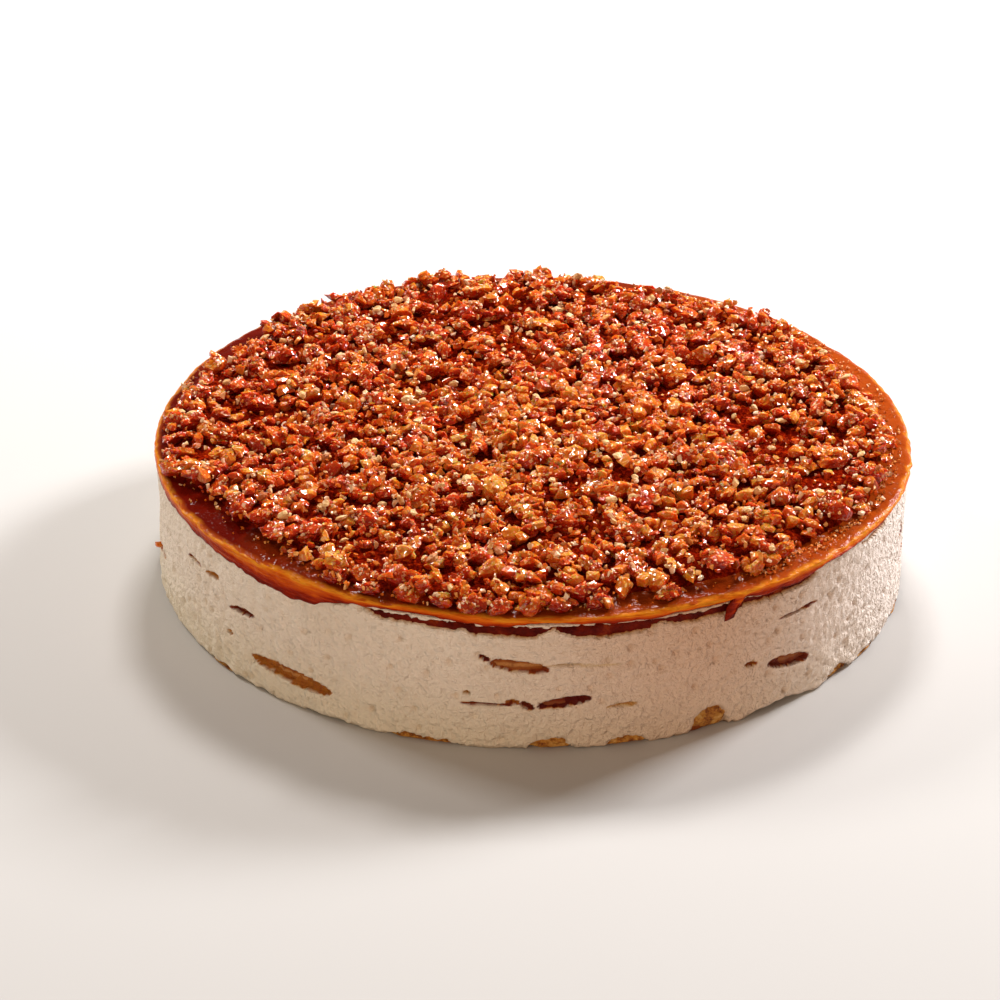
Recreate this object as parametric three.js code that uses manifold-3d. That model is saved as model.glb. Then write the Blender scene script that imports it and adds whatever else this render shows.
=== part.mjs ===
// A round layered biscuit cake: cream set in a ring mould with four rows of round biscuits in it,
// and a sheet of caramel poured on top that is covered with crushed nut praline.
// Millimetres, +Z up. The origin is the middle of the underside and the front faces -Y.
// An azimuth is in degrees, 0 at the front and growing towards +X.
import * as THREE from 'three';
import { mergeVertices } from 'three/addons/utils/BufferGeometryUtils.js';
import Module from 'manifold-3d';

const wasm = await Module();
wasm.setup();

// Driving dimensions
const CAKE_RADIUS = 120; // a 24 cm ring mould
const CREAM_RADIUS = 119.3; // the middle of the cream's uneven side
const CREAM_TOP = 43.2;
const CARAMEL_TOP = 46.2;
const GAP = 0.3; // between pieces that lie on each other

const BISCUIT_RADIUS = 29.5;
const BISCUIT_INSET = 0.6; // how far a biscuit's edge stays behind the cream's side
const BISCUIT_THICKNESS = 5;
const BISCUIT_ARC = 105; // how far round a biscuit is made, each way from its outermost point
const ROW_CENTRE = CREAM_RADIUS - BISCUIT_INSET - BISCUIT_RADIUS; // where the outer biscuits' middles lie

const HEAP_BED = 3.4; // depth of the fine crumbs between the large pieces of praline
const BED_UNEVENNESS = 3;
const CHUNK_COUNT = 116;
const CHUNK_LARGEST = 12.8;
const CHUNK_SMALLEST = 6.6;

// The rows of biscuits, from the bottom. A row is a disc of radius core, in which the biscuits overlap,
// with count round ones at its edge from the azimuth first on. shows gives them in turn: halfWidth is
// half of the slit in the cream that a biscuit shows in, in degrees, and droop is how far its outer
// edge hangs below its row.
const ROWS = [
  {
    name: 'biscuit_layer_base',
    bottom: 0,
    thickness: BISCUIT_THICKNESS,
    core: 96,
    first: -56,
    count: 9,
    shows: [
      { halfWidth: 4, droop: 0 },
      { halfWidth: 5, droop: 0 },
      { halfWidth: 3, droop: 0 },
      { halfWidth: 4.5, droop: 0 },
    ],
  },
  {
    name: 'biscuit_layer_lower',
    bottom: 13.2,
    thickness: BISCUIT_THICKNESS,
    core: 96,
    first: -37.5,
    count: 9,
    shows: [
      { halfWidth: 7.4, droop: 5.5 },
      { halfWidth: 7.8, droop: 0 },
      { halfWidth: 4, droop: 0 },
      { halfWidth: 5, droop: 0 },
    ],
  },
  {
    name: 'biscuit_layer_upper',
    bottom: 26.2,
    thickness: BISCUIT_THICKNESS,
    core: 96,
    first: -47,
    count: 8,
    shows: [
      { halfWidth: 3.2, droop: 3 },
      { halfWidth: 5, droop: 0 },
      { halfWidth: 3, droop: -2 },
      { halfWidth: 4.4, droop: 0 },
    ],
  },
  {
    name: 'biscuit_layer_top',
    bottom: 37.8,
    thickness: 4.2,
    core: 115,
    first: -52,
    count: 9,
    shows: [
      { halfWidth: 9, droop: 0 },
      { halfWidth: 13, droop: 0 },
      { halfWidth: 12, droop: 0 },
    ],
  },
];

// Broken biscuit pushed into the foot of the cake: azimuth and half width in degrees, height.
const FOOT_PIECES = [
  { azimuth: 3, halfWidth: 3.4, height: 4 },
  { azimuth: 14.2, halfWidth: 3.2, height: 3.6 },
  { azimuth: 27.2, halfWidth: 3.1, height: 8.6 },
  { azimuth: 53, halfWidth: 2.8, height: 3.6 },
  { azimuth: 118, halfWidth: 3.1, height: 5.2 },
  { azimuth: 163, halfWidth: 3.3, height: 4 },
  { azimuth: 217, halfWidth: 2.9, height: 6.4 },
];
const FOOT_PIECE_DEPTH = 26;
const FOOT_PIECE_INSET = 0.5;

// Where the cream's lower edge doesn't reach down to the surface that the cake stands on
const LIFTED_EDGE = { azimuth: 39.5, halfWidth: 6.8, height: 1.5 };

// Caramel that has run over the edge: azimuth, width, and length below the cream's top
const CARAMEL_RUNS = [
  { azimuth: -38.5, width: 36, length: 5.6 },
  { azimuth: 30.4, width: 11, length: 8.7 },
  { azimuth: 101, width: 10, length: 7 },
  { azimuth: 170, width: 8, length: 10 },
  { azimuth: -119, width: 11, length: 7.5 },
];
const CARAMEL_RUN_RELIEF = 1.5;

// How much caramel is bare between the praline and the rim, as azimuth and width
const BARE_CARAMEL = [
  [-158, 6],
  [-145, 11],
  [-138, 4],
  [-122, 11],
  [-108, 4.5],
  [-96, 6],
  [-85, 3],
  [-73, 2],
  [-62, 10],
  [-42, 9],
  [-33, 4],
  [-8, 2],
  [10, 7],
  [32, 7],
  [60, 5.5],
  [87, 5],
  [100, 11],
  [130, 8],
  [160, 12],
  [180, 8],
];

const TURN = 360;
const EVEN_STEPS = [0.7548776662, 0.569840291]; // multiples of these spread points evenly over a square

const radians = THREE.MathUtils.degToRad;
const fraction = (x) => x - Math.floor(x);

// A draw from 0 to 1 that depends on two whole numbers alone.
const draw = (i, k) => fraction(Math.sin(i * 12.9898 + k * 78.233) * 43758.5453);

// The point at a radius and an azimuth.
const around = (radius, azimuth) => [
  radius * Math.sin(radians(azimuth)),
  -radius * Math.cos(radians(azimuth)),
];

// The azimuth of a point.
const azimuthOf = (x, y) => THREE.MathUtils.radToDeg(Math.atan2(x, -y));

// The width of bare caramel at an azimuth, read off between the given ones.
function bareCaramel(azimuth) {
  const wrapped = TURN * fraction((azimuth + TURN / 2) / TURN) - TURN / 2;
  const last = BARE_CARAMEL.at(-1);
  const line = [[-TURN / 2, last[1]], ...BARE_CARAMEL];
  const next = line.findIndex(([at]) => at > wrapped);
  const [[from, a], [to, b]] = line.slice(next - 1, next + 1);
  return THREE.MathUtils.mapLinear(wrapped, from, to, a, b);
}

// A closed geometry as a solid that can be joined and cut.
function solid(geometry) {
  const bare = geometry.clone();
  bare.deleteAttribute('normal');
  bare.deleteAttribute('uv');
  const merged = mergeVertices(bare, 1e-4);
  return new wasm.Manifold(
    new wasm.Mesh({
      numProp: 3,
      vertProperties: new Float32Array(merged.attributes.position.array),
      triVerts: new Uint32Array(merged.index.array),
    }),
  );
}

const join = (solids) => solids.reduce((all, one) => all.add(one));

// A solid as a geometry with flat faces.
function geometryOf(made) {
  const { vertProperties, triVerts } = made.getMesh();
  const geometry = new THREE.BufferGeometry();
  geometry.setAttribute('position', new THREE.BufferAttribute(vertProperties, 3));
  geometry.setIndex(new THREE.BufferAttribute(triVerts, 1));
  const flat = geometry.toNonIndexed();
  flat.computeVertexNormals();
  return flat;
}

// An upright cylinder round the cake's axis.
function disc(radius, bottom, top, sides) {
  const geometry = new THREE.CylinderGeometry(radius, radius, top - bottom, sides);
  return geometry.rotateX(Math.PI / 2).translate(0, 0, (bottom + top) / 2);
}

// A body turned about the Z axis from rows of [radius, height], whose points move() then shifts.
function turned(rows, sides, move) {
  const profile = rows.map(([r, z]) => new THREE.Vector2(r, z));
  const geometry = new THREE.LatheGeometry(profile, sides).rotateX(Math.PI / 2);
  const position = geometry.attributes.position;
  for (let i = 0; i < position.count; i++) {
    const point = new THREE.Vector3().fromBufferAttribute(position, i);
    if (Math.hypot(point.x, point.y) > 1e-6) move(point, i % rows.length);
    position.setXYZ(i, point.x, point.y, point.z);
  }
  return solid(geometry);
}

// Moves a point outwards from the Z axis.
function pushOut(point, distance) {
  const scale = 1 + distance / Math.hypot(point.x, point.y);
  point.x *= scale;
  point.y *= scale;
}

// The part of a round biscuit that lies outside its row's core, tipped so that its outer edge droops.
function biscuit(radius, bottom, top, azimuth, droop) {
  const outermost = -Math.PI / 2;
  const reach = radians(BISCUIT_ARC);
  const shape = new THREE.Shape();
  shape.absarc(0, 0, radius, outermost - reach, outermost + reach);
  const geometry = new THREE.ExtrudeGeometry(shape, {
    depth: top - bottom,
    curveSegments: 4,
    bevelEnabled: false,
  });
  geometry.translate(0, 0, (bottom - top) / 2);
  geometry.rotateX(Math.asin(droop / BISCUIT_RADIUS));
  geometry.translate(0, -ROW_CENTRE, (bottom + top) / 2);
  return solid(geometry.rotateZ(radians(azimuth)));
}

// The radius of a round pocket about a biscuit's middle that opens the cream's side by halfWidth each way.
function pocketRadius(halfWidth) {
  const between = 2 * CREAM_RADIUS * ROW_CENTRE * Math.cos(radians(halfWidth));
  return Math.sqrt(CREAM_RADIUS ** 2 + ROW_CENTRE ** 2 - between);
}

// A row of biscuits.
function biscuitRow({ bottom, thickness, core, first, count, shows }) {
  const top = bottom + thickness;
  const pieces = [solid(disc(core, bottom, top, 3 * count))];
  for (let i = 0; i < count; i++) {
    const { droop } = shows[i % shows.length];
    pieces.push(biscuit(BISCUIT_RADIUS, bottom, top, first + (i * TURN) / count, droop));
  }
  return join(pieces);
}

// The room that a row takes in the cream, open at the side where its biscuits show.
function roomForRow({ bottom, thickness, core, first, count, shows }) {
  const low = bottom - GAP;
  const high = bottom + thickness + GAP;
  const pieces = [solid(disc(core + GAP, low, high, 3 * count))];
  for (let i = 0; i < count; i++) {
    const { halfWidth, droop } = shows[i % shows.length];
    pieces.push(biscuit(pocketRadius(halfWidth), low, high, first + (i * TURN) / count, droop));
  }
  return join(pieces);
}

// A broken piece at the cake's foot, ragged on top, that reaches in to the base row.
function footPiece({ azimuth, halfWidth, height }, grow = 0) {
  const half = CREAM_RADIUS * radians(halfWidth) + grow;
  const shape = new THREE.Shape();
  shape.moveTo(-half, -grow);
  shape.lineTo(half, -grow);
  shape.lineTo(half, 0.7 * height + grow);
  shape.lineTo(0.3 * half, height + grow);
  shape.lineTo(-0.5 * half, 0.9 * height + grow);
  shape.lineTo(-half, 0.55 * height + grow);
  // A room is open at the cream's side, where the piece itself stops short of it.
  const outer = CREAM_RADIUS - FOOT_PIECE_INSET + (grow ? 5 : 0);
  const inner = CREAM_RADIUS - FOOT_PIECE_DEPTH - grow;
  const geometry = new THREE.ExtrudeGeometry(shape, { depth: outer - inner, bevelEnabled: false });
  geometry.rotateX(Math.PI / 2).translate(0, -inner, 0);
  return solid(geometry.rotateZ(radians(azimuth)));
}

// A thin wedge under the cream's lower edge.
function liftedEdge({ azimuth, halfWidth, height }) {
  const half = CREAM_RADIUS * radians(halfWidth);
  const shape = new THREE.Shape();
  shape.moveTo(-half, -1);
  shape.lineTo(half, -1);
  shape.quadraticCurveTo(0.2 * half, height, 0, height);
  shape.quadraticCurveTo(-0.6 * half, height, -half, -1);
  const geometry = new THREE.ExtrudeGeometry(shape, { depth: 12, curveSegments: 3, bevelEnabled: false });
  geometry.rotateX(Math.PI / 2).translate(0, 8 - CREAM_RADIUS, 0);
  return solid(geometry.rotateZ(radians(azimuth)));
}

// The cream: a disc whose side is uneven, as a mould's paper leaves it, with room for what lies in it.
function cream() {
  const rows = [
    [0, 0],
    [CREAM_RADIUS - 1, 0],
    [CREAM_RADIUS, 1.4],
    [CREAM_RADIUS, 13],
    [CREAM_RADIUS, 28],
    [CREAM_RADIUS - 0.4, CREAM_TOP],
    [0, CREAM_TOP],
  ];
  const sides = 52;
  const body = turned(rows, sides, (point, row) => {
    const turn = radians(azimuthOf(point.x, point.y));
    const wave = Math.sin(3 * turn + row) + Math.sin(8 * turn + 2 * row) + Math.sin(13 * turn - row);
    pushOut(point, 0.17 * wave);
  });
  const rooms = ROWS.map(roomForRow);
  rooms.push(...FOOT_PIECES.map((piece) => footPiece(piece, GAP)));
  rooms.push(liftedEdge(LIFTED_EDGE));
  return body.subtract(join(rooms));
}

// Caramel that hangs down outside the cream: the outer part of an egg shape for each run.
function caramelRuns() {
  const inner = solid(disc(CAKE_RADIUS + 0.2, 0, CREAM_TOP + GAP, 90));
  const eggs = CARAMEL_RUNS.map(({ azimuth, width, length }) => {
    const high = CARAMEL_TOP - 0.4;
    const low = CREAM_TOP - length;
    const egg = new THREE.SphereGeometry(1, 8, 6).rotateX(Math.PI / 2);
    egg.scale(width / 2, CARAMEL_RUN_RELIEF + 0.6, (high - low) / 2);
    egg.translate(0, 0.4 - CAKE_RADIUS, (high + low) / 2);
    return solid(egg.rotateZ(radians(azimuth)));
  });
  return join(eggs).subtract(inner);
}

// The caramel with a bed of fine praline crumbs on it, out to an uneven edge.
function caramelAndBed() {
  const foot = CREAM_TOP + GAP;
  const rim = [
    [CAKE_RADIUS - 1.6, foot],
    [CAKE_RADIUS + 0.3, foot + 0.9],
    [CAKE_RADIUS, foot + 2],
    [CAKE_RADIUS - 1.5, CARAMEL_TOP],
  ];
  // The bed's rings: distance inside its edge and share of its depth, then share of the way to the middle.
  const slope = [
    [0, 0],
    [2.5, 0.75],
  ];
  const inside = [0.92, 0.83, 0.74, 0.65, 0.56, 0.47, 0.37, 0.26, 0.14];
  const rows = [
    [0, foot],
    ...rim,
    ...slope.map(([inset, share]) => [CAKE_RADIUS - inset, CARAMEL_TOP + share * HEAP_BED]),
    ...inside.map((share) => [CAKE_RADIUS * share, CARAMEL_TOP + HEAP_BED]),
    [0, CARAMEL_TOP + HEAP_BED],
  ];
  const firstOfBed = 1 + rim.length;
  return turned(rows, 66, (point, row) => {
    const azimuth = azimuthOf(point.x, point.y);
    const turn = radians(azimuth);
    if (row >= firstOfBed) {
      const across = Math.hypot(point.x, point.y) / CAKE_RADIUS;
      pushOut(point, -bareCaramel(azimuth) * across);
    }
    if (row > firstOfBed) {
      const nearMiddle = Math.min(1, Math.hypot(point.x, point.y) / 60);
      point.z += BED_UNEVENNESS * nearMiddle * (draw(Math.round(azimuth), row) - 0.5);
    }
    pushOut(point, 0.35 * Math.sin(5 * turn + 1) + 0.25 * Math.sin(11 * turn));
  });
}

// Where a large piece of praline lies and how long it is. The largest come first, and all are spread evenly.
function chunkPlace(i) {
  const azimuth = TURN * fraction(0.5 + (i + 1) * EVEN_STEPS[1]);
  const size = CHUNK_LARGEST - (CHUNK_LARGEST - CHUNK_SMALLEST) * Math.sqrt(i / CHUNK_COUNT);
  const edge = CAKE_RADIUS - bareCaramel(azimuth) - size / 3;
  return { radius: edge * Math.sqrt(fraction(0.5 + (i + 1) * EVEN_STEPS[0])), azimuth, size, edge };
}

// A large piece of praline: an icosahedron with its corners drawn in or out, flattened and turned.
function chunk(i) {
  const { radius, azimuth, size, edge } = chunkPlace(i);
  const corners = new THREE.IcosahedronGeometry(1, 0);
  corners.deleteAttribute('normal');
  corners.deleteAttribute('uv');
  const shard = mergeVertices(corners);
  const position = shard.attributes.position;
  for (let v = 0; v < position.count; v++) {
    const corner = new THREE.Vector3().fromBufferAttribute(position, v);
    corner.multiplyScalar(0.78 + 0.34 * draw(i, 10 + v));
    position.setXYZ(v, corner.x, corner.y, corner.z);
  }
  const high = size * (0.23 + 0.12 * draw(i, 3));
  shard.scale(size / 2, size * (0.3 + 0.13 * draw(i, 2)), high);
  shard.rotateX(radians(50 * (draw(i, 4) - 0.5)));
  shard.rotateZ(radians(TURN * draw(i, 5)));
  const [x, y] = around(radius, azimuth);
  const bed = radius > edge - 4 ? 0.5 * HEAP_BED : HEAP_BED;
  return solid(shard.translate(x, y, CARAMEL_TOP + bed + 0.15 * high));
}

// The caramel and the praline are one piece. What a chunk would put below the caramel's top is left off.
function caramelWithPraline() {
  const chunks = [];
  for (let i = 0; i < CHUNK_COUNT; i++) chunks.push(chunk(i));
  const below = solid(disc(CAKE_RADIUS + 20, 0, CARAMEL_TOP - 0.5, 24));
  return join([caramelAndBed(), caramelRuns(), join(chunks).subtract(below)]);
}

const finish = (color, roughness) =>
  new THREE.MeshStandardMaterial({ color, roughness, metalness: 0, flatShading: true });
const creamFinish = finish(0xe6d8c4, 0.65);
const biscuitFinish = finish(0xa8692f, 0.85);
const pralineFinish = finish(0xb8521a, 0.25);

const cake = new THREE.Group();

function add(name, made, material) {
  const mesh = new THREE.Mesh(geometryOf(made), material);
  mesh.name = name;
  cake.add(mesh);
}

add('cream_body', cream(), creamFinish);
for (const row of ROWS) {
  const pieces = row.bottom === 0 ? FOOT_PIECES.map((piece) => footPiece(piece)) : [];
  add(row.name, join([biscuitRow(row), ...pieces]), biscuitFinish);
}
add('caramel_with_praline', caramelWithPraline(), pralineFinish);

export default cake;
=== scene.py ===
"""A round chilled cake: cream with rows of round biscuits set in it, caramel poured on top, and a thick
cover of crushed nut praline.

+Z is up, the middle of the underside is the origin and the front faces -Y. Sizes are in millimetres until
a mesh is made. An azimuth is in degrees, 0 at the front and growing towards +X.
"""

import bpy
import numpy as np
from mathutils import Matrix


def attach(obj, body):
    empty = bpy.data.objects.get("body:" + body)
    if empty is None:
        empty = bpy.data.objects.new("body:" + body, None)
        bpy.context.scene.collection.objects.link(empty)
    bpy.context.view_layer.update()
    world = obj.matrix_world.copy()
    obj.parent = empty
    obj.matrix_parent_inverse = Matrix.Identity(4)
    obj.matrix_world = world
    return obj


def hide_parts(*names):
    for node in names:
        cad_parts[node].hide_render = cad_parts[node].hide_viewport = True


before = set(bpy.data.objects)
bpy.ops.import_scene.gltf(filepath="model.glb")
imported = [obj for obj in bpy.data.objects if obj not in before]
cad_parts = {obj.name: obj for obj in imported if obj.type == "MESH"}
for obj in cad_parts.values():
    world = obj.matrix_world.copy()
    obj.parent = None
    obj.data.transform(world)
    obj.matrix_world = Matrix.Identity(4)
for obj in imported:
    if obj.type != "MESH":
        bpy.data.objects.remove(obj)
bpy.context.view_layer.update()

# ---------------------------------------------------------------------------------------------------------
# The view and the studio. The camera stands a little over a metre off, looking 28 degrees down through a
# long lens. Soft boxes behind the cake light it from the right and the left, and two large weak ones fill
# in from the front.
# ---------------------------------------------------------------------------------------------------------
CAMERA_PLACE = (0.0, -1.13707, 0.62331)
CAMERA_DOWN = 27.901
CAMERA_LEFT = 0.518
CAMERA_ROLL = 0.526
LENS = 144.0
AIM_HEIGHT = 0.03

camera = bpy.data.objects.new("camera", bpy.data.cameras.new("camera"))
camera.data.lens = LENS
camera.data.sensor_width = 36.0
camera.data.clip_start = 0.05
turn = Matrix.Rotation(np.radians(CAMERA_LEFT), 4, "Z")
look = Matrix.Rotation(np.radians(90.0 - CAMERA_DOWN), 4, "X")
roll = Matrix.Rotation(np.radians(CAMERA_ROLL), 4, "Z")
camera.matrix_world = Matrix.Translation(CAMERA_PLACE) @ turn @ look @ roll
bpy.context.scene.collection.objects.link(camera)
bpy.context.scene.camera = camera


def softbox(name, azimuth, elevation, distance, size, watts, colour, glints=True):
    """A square area light that shines at the cake's middle from an azimuth and an elevation. Without
    glints it leaves no highlight."""
    light = bpy.data.lights.new(name, "AREA")
    light.size = size
    light.energy = watts
    light.color = colour
    holder = bpy.data.objects.new(name, light)
    holder.visible_glossy = glints
    a, e = np.radians(azimuth), np.radians(elevation)
    aim = Matrix.Rotation(a, 4, "Z") @ Matrix.Rotation(np.radians(90.0) - e, 4, "X")
    holder.matrix_world = Matrix.Translation((0, 0, AIM_HEIGHT)) @ aim @ Matrix.Translation((0, 0, distance))
    bpy.context.scene.collection.objects.link(holder)


softbox("key light", 128, 30, 1.3, 0.30, 24.0, (0.97, 0.97, 1.0))
softbox("left light", -122, 38, 1.3, 0.28, 7.5, (1.0, 0.97, 0.95))
softbox("top light", 178, 52, 1.2, 0.26, 11.0, (1.0, 0.97, 0.97))
softbox("right fill", 30, 12, 1.8, 1.2, 5.5, (1.0, 0.56, 0.34), glints=False)
softbox("left fill", -30, 18, 1.8, 1.2, 8.8, (1.0, 0.84, 0.66), glints=False)

world = bpy.data.worlds.new("studio")
world.use_nodes = True
world.node_tree.nodes["Background"].inputs["Color"].default_value = (1.0, 0.82, 0.66, 1.0)
world.node_tree.nodes["Background"].inputs["Strength"].default_value = 0.2
bpy.context.scene.world = world
bpy.context.scene.view_settings.view_transform = "Standard"

FLOOR_HALF = 3.0
floor_mesh = bpy.data.meshes.new("floor")
corners = [(-1, -1), (1, -1), (1, 1), (-1, 1)]
floor_mesh.from_pydata([(FLOOR_HALF * x, FLOOR_HALF * y, 0.0) for x, y in corners], [], [(0, 1, 2, 3)])
floor = bpy.data.objects.new("floor", floor_mesh)
bpy.context.scene.collection.objects.link(floor)


class Socket:
    """A node's output that Python's operators work on: each adds a Math node to its material."""

    def __init__(self, finish, output):
        self.finish = finish
        self.output = output

    def math(self, operation, *values):
        return self.finish.node("ShaderNodeMath", {"operation": operation}, dict(enumerate(values)))

    def __add__(self, other):
        return self.math("ADD", self, other)

    __radd__ = __add__

    def __sub__(self, other):
        return self.math("SUBTRACT", self, other)

    def __rsub__(self, other):
        return self.math("SUBTRACT", other, self)

    def __mul__(self, other):
        return self.math("MULTIPLY", self, other)

    __rmul__ = __mul__

    def __pow__(self, other):
        return self.math("POWER", self, other)

    def clip(self, low=0.0, high=1.0):
        """0 up to low, 1 from high on, and a straight rise between."""
        settings = {"operation": "MULTIPLY_ADD", "use_clamp": True}
        values = {0: self, 1: 1.0 / (high - low), 2: -low / (high - low)}
        return self.finish.node("ShaderNodeMath", settings, values)


class Finish:
    """A material. node() adds a node of a type, with its settings first and then its inputs' values."""

    def __init__(self, name):
        self.material = bpy.data.materials.new(name)
        self.material.use_nodes = True
        self.tree = self.material.node_tree
        self.tree.nodes.clear()

    def node(self, kind, settings=None, inputs=None, output=0):
        made = self.tree.nodes.new(kind)
        for name, value in (settings or {}).items():
            if name == "stops":
                self.set_stops(made.color_ramp, value)
            else:
                setattr(made, name, value)
        for name, value in (inputs or {}).items():
            if isinstance(value, Socket):
                self.tree.links.new(value.output, made.inputs[name])
            else:
                made.inputs[name].default_value = value
        return Socket(self, made.outputs[output]) if made.outputs else None

    def set_stops(self, ramp, stops):
        for place, colour in stops[2:]:
            ramp.elements.new(place)
        for element, (place, colour) in zip(ramp.elements, stops):
            element.position = place
            element.color = (*colour, 1.0)

    def place(self):
        """The point's place on the object, in metres."""
        return self.node("ShaderNodeTexCoord", output="Object")

    def value(self, name):
        """A number that the mesh stores at its points."""
        return self.node("ShaderNodeAttribute", {"attribute_name": name}, output="Fac")

    def upward(self):
        """How far the surface faces up: 1 for level, 0 for upright or facing down."""
        normal = self.node("ShaderNodeNewGeometry", output="Normal")
        return self.node("ShaderNodeSeparateXYZ", {}, {"Vector": normal}, output="Z").clip()

    def noise(self, scale, detail=2.0, roughness=0.5, stretch=None):
        """Cloudy noise with the given number of blotches to the metre."""
        where = self.place()
        if stretch:
            where = self.node("ShaderNodeMapping", {}, {"Vector": where, "Scale": stretch})
        inputs = {"Vector": where, "Scale": scale, "Detail": detail, "Roughness": roughness}
        return self.node("ShaderNodeTexNoise", {}, inputs)

    def ramp(self, factor, *stops):
        return self.node("ShaderNodeValToRGB", {"stops": stops}, {"Fac": factor})

    def mix(self, factor, first, second):
        """The first colour, turning to the second as factor goes from 0 to 1."""
        pair = [c if isinstance(c, Socket) else (*c, 1.0) for c in (first, second)]
        inputs = {0: factor, 6: pair[0], 7: pair[1]}
        return self.node("ShaderNodeMix", {"data_type": "RGBA"}, inputs, output=2)

    def bump(self, height, depth):
        """A normal that shows height as relief, depth metres deep."""
        inputs = {"Strength": 1.0, "Distance": depth, "Height": height}
        return self.node("ShaderNodeBump", {}, inputs)

    def shade(self, colour, **sockets):
        """Ends the material with a Principled shader. A socket's name has _ where Blender's has a space."""
        inputs = {"Base Color": colour if isinstance(colour, Socket) else (*colour, 1.0)}
        inputs.update({name.replace("_", " "): value for name, value in sockets.items()})
        shader = self.node("ShaderNodeBsdfPrincipled", {}, inputs)
        self.node("ShaderNodeOutputMaterial", {}, {"Surface": shader})
        return self.material


pale = Finish("pale floor")
floor_mesh.materials.append(pale.shade((0.56, 0.55, 0.53), Roughness=0.75, Specular_IOR_Level=0.3))

# ---------------------------------------------------------------------------------------------------------
# Cream: whipped cream set in a paper-lined ring mould. Its side is pebbly with small pits, smeared upright
# where the paper came off, and opens in ragged slits where a biscuit reaches it. Its foot is uneven.
# ---------------------------------------------------------------------------------------------------------
CREAM_RADIUS = 119.3
CREAM_TOP = 43.2
CREAM_COLUMNS = 1120
CREAM_ROWS = 68
SIDE_HEIGHT = 46.0  # what the unevenness of the side is laid out over
GRAINY_SIDE = 82.0  # azimuths of the coarsest cream, the most smeared, and the middle of the warm light painted on the cream
SMEARED_SIDE = -65.0
PAINTED_WARM_LIGHT_SIDE = 26.0
SEAM_HEIGHTS = (14.5, 29.0)

# Slits, measured on the front and made up round the back: azimuth, half width in degrees, height of the
# middle, half height, how much higher the right end is than the middle, and how stained the cream is
# inside, from 0 for plain through 0.5 for golden crumbs to 1 for dark soaked biscuit.
SLITS = [
    (-37.5, 7.3, 10.3, 2.3, -0.8, 0.6),
    (-6.3, 2.9, 15.5, 0.4, 0.2, 0.9),
    (-2.4, 0.9, 16.8, 0.7, 0.1, 0.6),
    (-0.3, 0.9, 15.6, 1.1, -0.7, 0.9),
    (4.9, 3.6, 16.7, 1.5, 1.1, 1.0),
    (13.4, 1.9, 14.6, 0.5, 0.1, 0.4),
    (-9.0, 0.4, 18.9, 0.5, 0.0, 0.5),
    (41.0, 3.9, 15.5, 1.9, -1.5, 0.9),
    (-60.0, 1.8, 30.6, 0.5, 0.0, 0.9),
    (-54.5, 1.6, 30.8, 0.8, 0.5, 0.5),
    (-50.3, 0.6, 14.6, 0.6, 0.0, 0.5),
    (-47.0, 2.6, 24.9, 0.9, 0.7, 0.9),
    (-6.5, 0.7, 31.0, 0.6, -0.3, 1.0),
    (-1.5, 4.0, 28.6, 1.6, -0.9, 0.75),
    (6.5, 4.7, 29.0, 0.25, -0.4, 0.2),
    (42.7, 3.1, 31.5, 0.4, 0.1, 0.9),
    (33.8, 1.0, 19.2, 0.6, -0.3, 0.7),
    (77.5, 1.6, 26.0, 2.2, 0.2, 0.8),
    (82.5, 4.4, 15.6, 1.7, 0.3, 0.8),
    (122.0, 5.5, 15.0, 2.1, -0.6, 0.7),
    (162.5, 3.6, 16.2, 1.5, 0.9, 0.9),
    (-157.5, 6.2, 15.4, 2.0, 0.5, 0.7),
    (-117.5, 3.4, 15.8, 1.3, -0.8, 0.9),
    (-78.0, 2.8, 14.9, 1.0, 0.4, 0.6),
    (88.0, 1.8, 29.6, 0.7, 0.3, 0.9),
    (133.0, 4.8, 28.8, 1.5, -0.5, 0.8),
    (178.0, 3.7, 28.5, 1.3, 0.6, 0.8),
    (-137.0, 5.2, 28.2, 1.6, -0.4, 0.7),
    (-92.0, 3.0, 29.4, 1.0, 0.5, 0.9),
    (100.0, 0.9, 17.2, 0.6, 0.2, 0.8),
    (112.0, 2.6, 30.4, 0.4, 0.3, 0.4),
    (146.0, 0.7, 18.4, 0.6, 0.0, 0.6),
    (-172.0, 2.4, 16.0, 0.4, -0.2, 0.8),
    (-148.0, 0.6, 30.2, 0.5, 0.0, 0.9),
    (-127.0, 2.9, 29.6, 0.3, 0.3, 0.3),
    (-104.0, 0.8, 27.2, 0.6, 0.2, 0.7),
    (-87.0, 0.6, 17.6, 0.5, 0.0, 0.5),
]
SLIT_DEPTH = 2.0

# Biscuit that shows at the foot: azimuth, half width in degrees, height.
FOOT_PIECES = [
    (-53.0, 3.2, 0.9),
    (-15.8, 5.2, 1.9),
    (3.0, 3.4, 3.8),
    (14.2, 3.3, 3.5),
    (27.2, 3.3, 8.4),
    (53.0, 2.9, 3.3),
    (60.7, 3.6, 2.2),
    (75.5, 3.4, 1.7),
    (118.0, 3.2, 5.0),
    (144.0, 4.4, 2.0),
    (163.0, 3.4, 3.9),
    (-176.0, 4.0, 1.6),
    (-143.0, 3.0, 6.2),
    (-119.0, 4.6, 2.4),
    (-96.0, 3.6, 2.8),
]

# The dark line of soaked biscuit under the caramel: from one azimuth to another, low edge, high edge.
SOAKED_LINES = [
    (-47.0, -27.0, 40.6, 41.9),
    (-25.0, -7.5, 39.7, 42.1),
    (-10.5, 3.6, 38.5, 42.1),
    (3.0, 19.5, 38.3, 42.2),
    (18.0, 33.5, 39.3, 42.0),
    (31.0, 47.0, 39.6, 42.0),
    (57.0, 70.0, 40.0, 41.8),
    (88.0, 118.0, 39.0, 42.1),
    (121.0, 141.0, 39.8, 42.0),
    (150.0, 176.0, 38.6, 42.1),
    (-170.0, -146.0, 39.1, 42.1),
    (-137.0, -116.0, 39.9, 42.0),
    (-101.0, -82.0, 39.2, 42.0),
]

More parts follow.
